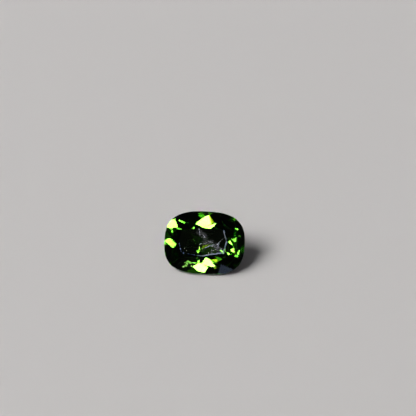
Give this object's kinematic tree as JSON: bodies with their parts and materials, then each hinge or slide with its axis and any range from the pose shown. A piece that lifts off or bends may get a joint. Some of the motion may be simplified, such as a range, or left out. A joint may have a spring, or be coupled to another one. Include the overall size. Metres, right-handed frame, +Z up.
{
  "type": "faceted chrome diopside gemstone",
  "caption": "Deep green chrome diopside cut as a cushion brilliant, loose and unset, lying on a pavilion facet with its table tipped forward.",
  "frame": {"origin": "middle of the base: the centre of the object's bounding box in plan, on the surface that the stone lies on", "axes": "+Z up from the surface, +X along the stone's length, -Y towards the side that the table is tipped to"},
  "size_m": [0.009, 0.0056, 0.005],
  "materials": {
    "diopside": "polished, with a finely ground girdle and worn facet edges"
  },
  "bodies": {
    "root": {"stone": "diopside"}
  },
  "joints": []
}
